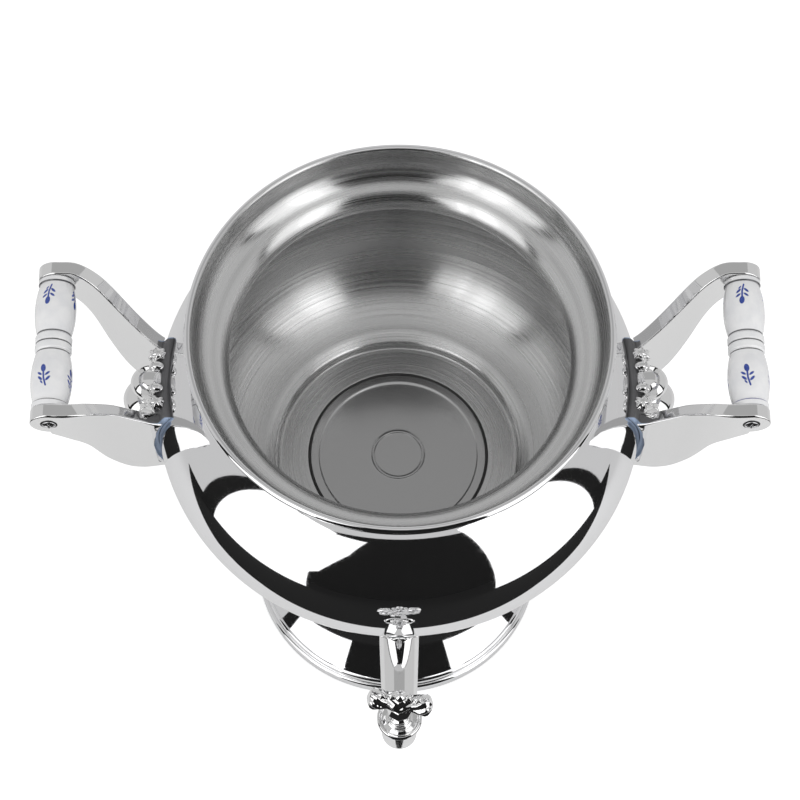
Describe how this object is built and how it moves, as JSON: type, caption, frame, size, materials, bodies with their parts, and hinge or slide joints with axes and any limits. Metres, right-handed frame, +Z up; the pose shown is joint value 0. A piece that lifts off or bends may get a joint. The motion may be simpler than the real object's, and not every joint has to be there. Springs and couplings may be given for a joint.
{
  "type": "samovar",
  "caption": "Electric samovar with its lid off: a round-bellied polished steel vessel on a waisted foot, a front tap with a turning key, and porcelain side grips.",
  "frame": {"origin": "on the main axis of the vessel, in the plane of the surface that the rubber feet stand on", "axes": "+Z up along the vessel's axis, +X to the right-hand grip, the tap points to -Y"},
  "size_m": [0.334, 0.2737, 0.287],
  "materials": {
    "polished_shell": "mirror polished outside, brushed round inside",
    "polished_casting": "bright plated casting",
    "floor_plate": "fine brushed and polished steel",
    "steel": "plain bright steel",
    "aluminium": "pressed",
    "dark_plastic": "matt black",
    "base_sheet": "black painted sheet",
    "silicone": "pale bluish silicone",
    "dark_rubber": "matt black",
    "brass": "plain",
    "porcelain": "white glaze with blue sprigs"
  },
  "bodies": {
    "samovar": {"base_plate": "base_sheet", "clamp_nuts": "steel", "clamp_ring": "steel", "clamp_studs": "steel", "collar_gasket": "silicone", "foot_ring": "polished_shell", "grip_left": "porcelain", "grip_right": "porcelain", "grip_rod_left": "steel", "grip_rod_right": "steel", "grip_screws_left": "steel", "grip_screws_right": "steel", "handle_bracket_left": "polished_casting", "handle_bracket_right": "polished_casting", "handle_gasket_left": "silicone", "handle_gasket_right": "silicone", "handle_nuts_left": "steel", "handle_nuts_right": "steel", "handle_studs_left": "steel", "handle_studs_right": "steel", "heat_spreader": "aluminium", "heater_leads": "dark_rubber", "heater_plate": "floor_plate", "heater_seal": "dark_rubber", "heating_element": "steel", "inlet_leads": "dark_rubber", "inlet_pins": "brass", "pedestal": "polished_shell", "power_inlet": "dark_plastic", "rubber_feet": "dark_rubber", "tap_body": "polished_casting", "tap_bonnet": "polished_casting", "tap_gasket": "silicone", "tap_nut": "steel", "tap_rosette": "polished_casting", "tap_wedge_washer": "silicone", "terminal_block": "dark_plastic", "thermal_cutout": "steel", "thermostat": "dark_plastic", "tie_nuts": "steel", "tie_rods": "steel", "vessel_shell": "polished_shell"},
    "tap_handle": {"tap_plug": "brass", "tap_key": "polished_casting", "key_finial": "polished_casting"}
  },
  "joints": [
    {"name": "tap_turn", "type": "hinge", "parent": "samovar", "child": "tap_handle", "pos_m": [0, -0.148, 0.173], "axis": [0, 0, 1], "range_deg": [0, 90]}
  ]
}
